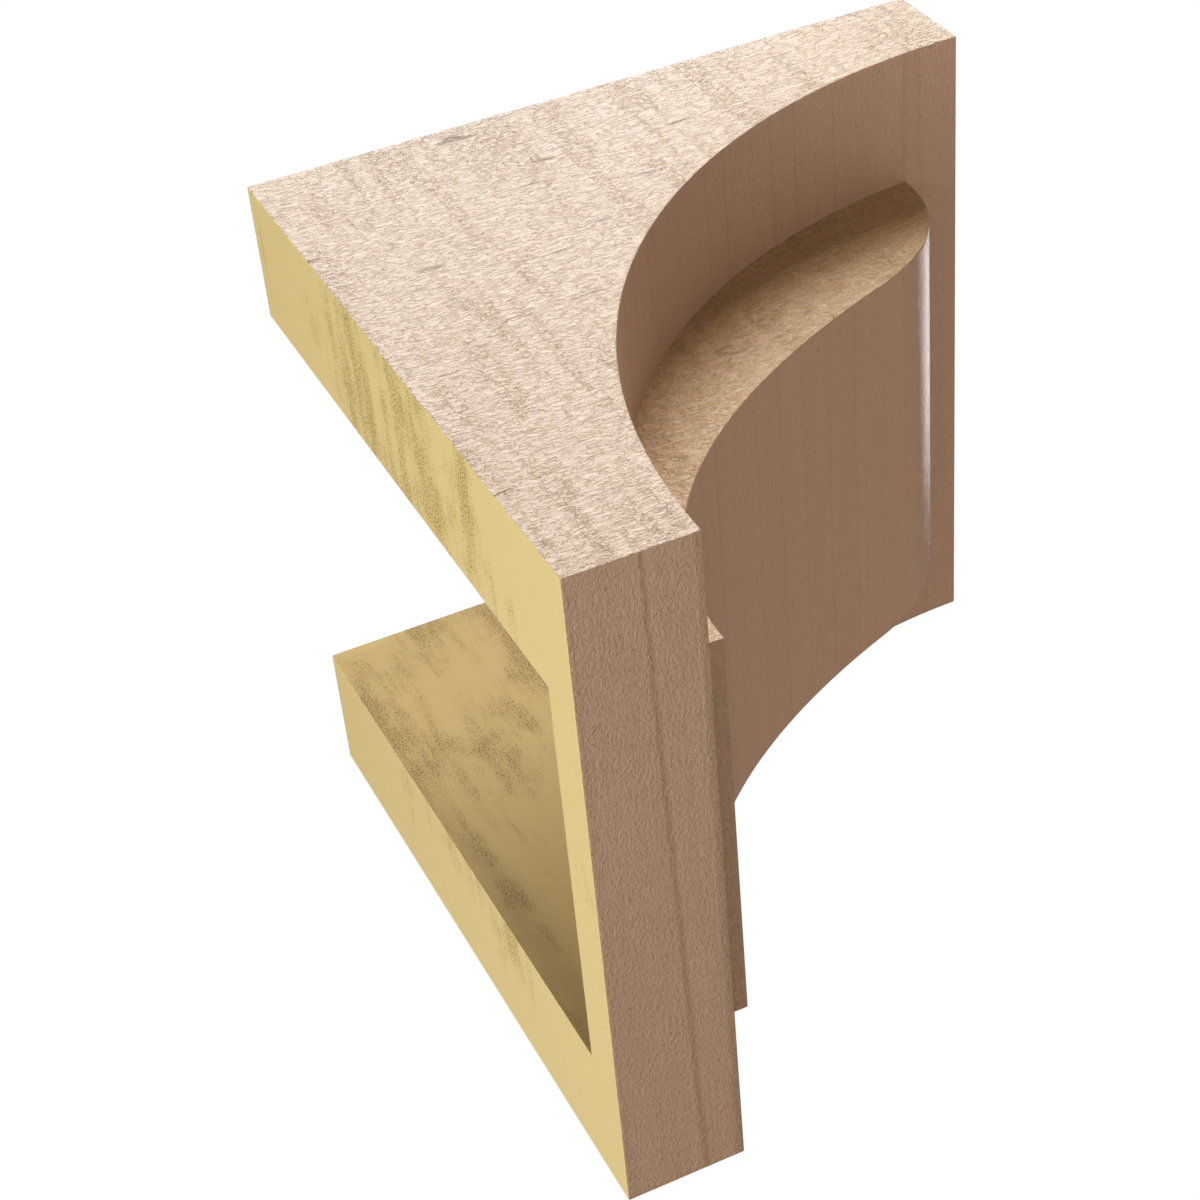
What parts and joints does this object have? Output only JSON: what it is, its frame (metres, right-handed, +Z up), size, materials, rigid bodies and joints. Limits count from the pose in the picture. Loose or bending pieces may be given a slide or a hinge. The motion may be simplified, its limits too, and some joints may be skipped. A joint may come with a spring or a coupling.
{
  "type": "corbel",
  "caption": "Cube-sized hollow corbel with coved cheeks and a raised ogee panel, open behind and on top to slip over a wall block; moulded polyurethane with rough-sawn timber grain.",
  "frame": {"origin": "on the back face, in the middle of the rail that closes the pocket below, where the corbel is fixed to the wall", "axes": "+Y out of the back into the wall, so the corbel stands out along -Y; +Z up; +X to the right seen from the front"},
  "size_m": [0.254, 0.254, 0.254],
  "materials": {
    "tan_timber_skin": "matte tan primer over moulded rough-sawn grain; bare yellow foam on the back and in the pocket"
  },
  "bodies": {
    "root": {"corbel": "tan_timber_skin"}
  },
  "joints": []
}
